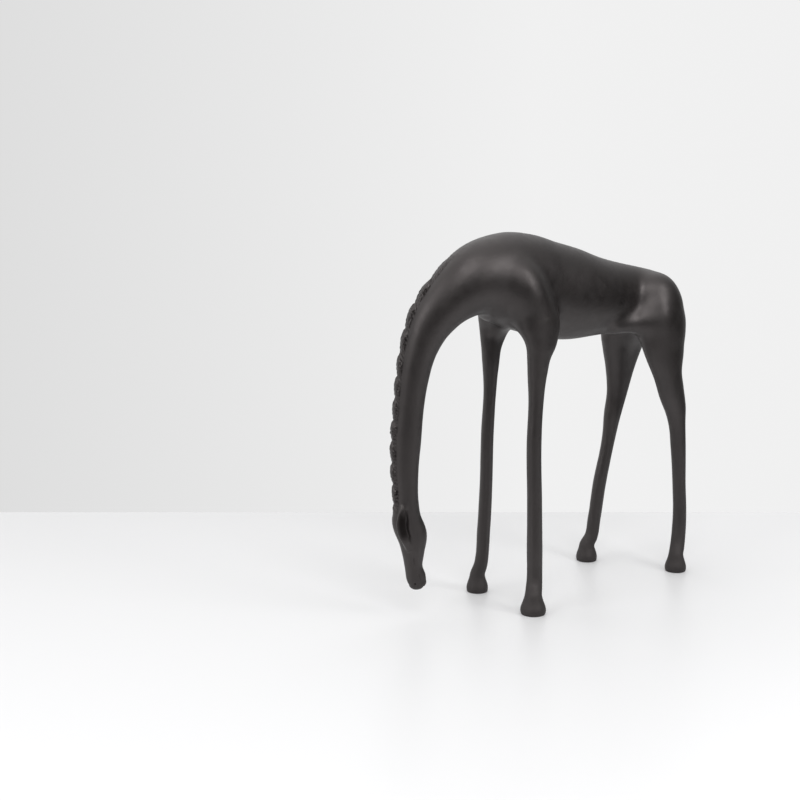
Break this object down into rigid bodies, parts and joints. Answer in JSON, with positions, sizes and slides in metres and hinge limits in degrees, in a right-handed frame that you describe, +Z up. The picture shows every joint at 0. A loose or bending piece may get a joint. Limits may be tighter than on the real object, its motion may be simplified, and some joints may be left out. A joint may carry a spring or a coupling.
{
  "type": "horse statue",
  "caption": "Abstract cast statuette of a grazing horse: long hanging neck with a scalloped mane, deep body and thin straight legs that stand on small hooves.",
  "frame": {"origin": "centre of the horse's bounding box on the surface that it stands on", "axes": "+Z up; +X from the lowered head back to the rump, so the horse faces -X; +Y towards the horse's right side, so its left side faces -Y"},
  "size_m": [0.3144, 0.097, 0.3318],
  "materials": {
    "cast_iron": "blackened, satin"
  },
  "bodies": {
    "root": {"grazing_horse": "cast_iron"}
  },
  "joints": []
}
